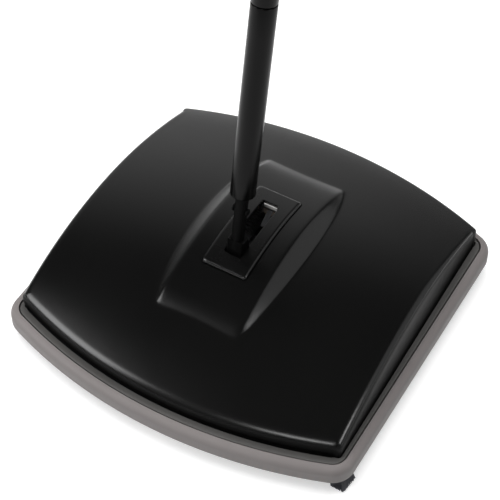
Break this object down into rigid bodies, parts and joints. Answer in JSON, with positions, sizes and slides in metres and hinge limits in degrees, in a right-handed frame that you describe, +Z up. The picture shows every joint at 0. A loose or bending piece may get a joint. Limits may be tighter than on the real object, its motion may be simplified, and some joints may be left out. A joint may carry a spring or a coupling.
{
  "type": "carpet sweeper",
  "caption": "Push carpet sweeper: domed cover with a bumper, wheels that turn a bristle brush, hinged dust pans, corner edgers and a long tubular handle on a swinging knuckle.",
  "frame": {"origin": "on the floor, under the middle of the body", "axes": "+Z up from the floor, +X to the right-hand side, -Y to the front and +Y to the person who pushes it"},
  "size_m": [0.298, 0.3203, 1.0877],
  "materials": {
    "cover": "moulded gloss",
    "plate": "moulded gloss",
    "bumper": "satin",
    "frame": "moulded satin",
    "knuckle": "moulded satin",
    "tube": "semi-gloss enamel",
    "grip": "soft matte",
    "cap": "moulded satin",
    "steel": "plated",
    "core": "bare turned wood",
    "bristle": "crimped strand",
    "edger": "stiff strand",
    "drum": "matte",
    "hub": "moulded satin",
    "tyre": "matte",
    "pan": "moulded satin",
    "bush": "moulded acetal"
  },
  "bodies": {
    "base": {"top_cover": "cover", "handle_plate": "plate", "bumper": "bumper", "base_frame": "frame", "pivot_bracket": "steel", "handle_pivot_pin": "steel", "detent_spring": "steel", "bracket_screws": "steel", "cover_screws": "steel", "wheel_axles": "steel", "brush_bearing_left": "bush", "brush_bearing_right": "bush", "front_pan_rod": "steel", "rear_pan_rod": "steel", "front_pan_spring": "steel", "rear_pan_spring": "steel", "edger_holder_front_left": "frame", "edger_tuft_front_left": "edger", "edger_holder_front_right": "frame", "edger_tuft_front_right": "edger", "edger_holder_rear_left": "frame", "edger_tuft_rear_left": "edger", "edger_holder_rear_right": "frame", "edger_tuft_rear_right": "edger"},
    "handle": {"handle_knuckle": "knuckle", "neck_rivet": "steel", "handle_tube_lower": "tube", "handle_tube_middle": "tube", "handle_tube_upper": "tube", "handle_grip": "grip", "hang_cap": "cap"},
    "brush": {"brush_shaft": "steel", "brush_core": "core", "brush_bristles": "bristle", "drum_left": "drum", "drum_right": "drum"},
    "front_left_wheel": {"wheel_front_left": "hub", "tyre_front_left": "tyre"},
    "front_right_wheel": {"wheel_front_right": "hub", "tyre_front_right": "tyre"},
    "rear_left_wheel": {"wheel_rear_left": "hub", "tyre_rear_left": "tyre"},
    "rear_right_wheel": {"wheel_rear_right": "hub", "tyre_rear_right": "tyre"},
    "front_dust_pan": {"front_pan": "pan", "front_comb": "pan"},
    "rear_dust_pan": {"rear_pan": "pan", "rear_comb": "pan"}
  },
  "joints": [
    {"name": "handle_lean", "type": "hinge", "parent": "base", "child": "handle", "pos_m": [0, -0.0288, 0.07], "axis": [-1, 0, 0], "range_deg": [0, 50]},
    {"name": "brush_spin", "type": "hinge", "parent": "base", "child": "brush", "pos_m": [0, 0, 0.031], "axis": [1, 0, 0], "continuous": true},
    {"name": "front_left_wheel_spin", "type": "hinge", "parent": "base", "child": "front_left_wheel", "pos_m": [-0.1185, -0.03867, 0.024], "axis": [1, 0, 0], "continuous": true},
    {"name": "front_right_wheel_spin", "type": "hinge", "parent": "base", "child": "front_right_wheel", "pos_m": [0.1185, -0.03867, 0.024], "axis": [1, 0, 0], "continuous": true},
    {"name": "rear_left_wheel_spin", "type": "hinge", "parent": "base", "child": "rear_left_wheel", "pos_m": [-0.1185, 0.03867, 0.024], "axis": [1, 0, 0], "continuous": true},
    {"name": "rear_right_wheel_spin", "type": "hinge", "parent": "base", "child": "rear_right_wheel", "pos_m": [0.1185, 0.03867, 0.024], "axis": [1, 0, 0], "continuous": true},
    {"name": "front_pan_open", "type": "hinge", "parent": "base", "child": "front_dust_pan", "pos_m": [0, -0.116, 0.0234], "axis": [-1, 0, 0], "range_deg": [0, 55], "stiffness_Nm_per_rad": 0.15, "springref_deg": -34.38, "deforming": ["front_pan_spring"]},
    {"name": "rear_pan_open", "type": "hinge", "parent": "base", "child": "rear_dust_pan", "pos_m": [0, 0.116, 0.0234], "axis": [1, 0, 0], "range_deg": [0, 55], "stiffness_Nm_per_rad": 0.15, "springref_deg": -34.38, "deforming": ["rear_pan_spring"]}
  ],
  "couplings": [
    {"joint": "front_left_wheel_spin", "follows": "brush_spin", "ratio": -0.625},
    {"joint": "front_right_wheel_spin", "follows": "brush_spin", "ratio": -0.625},
    {"joint": "rear_left_wheel_spin", "follows": "brush_spin", "ratio": -0.625},
    {"joint": "rear_right_wheel_spin", "follows": "brush_spin", "ratio": -0.625}
  ]
}
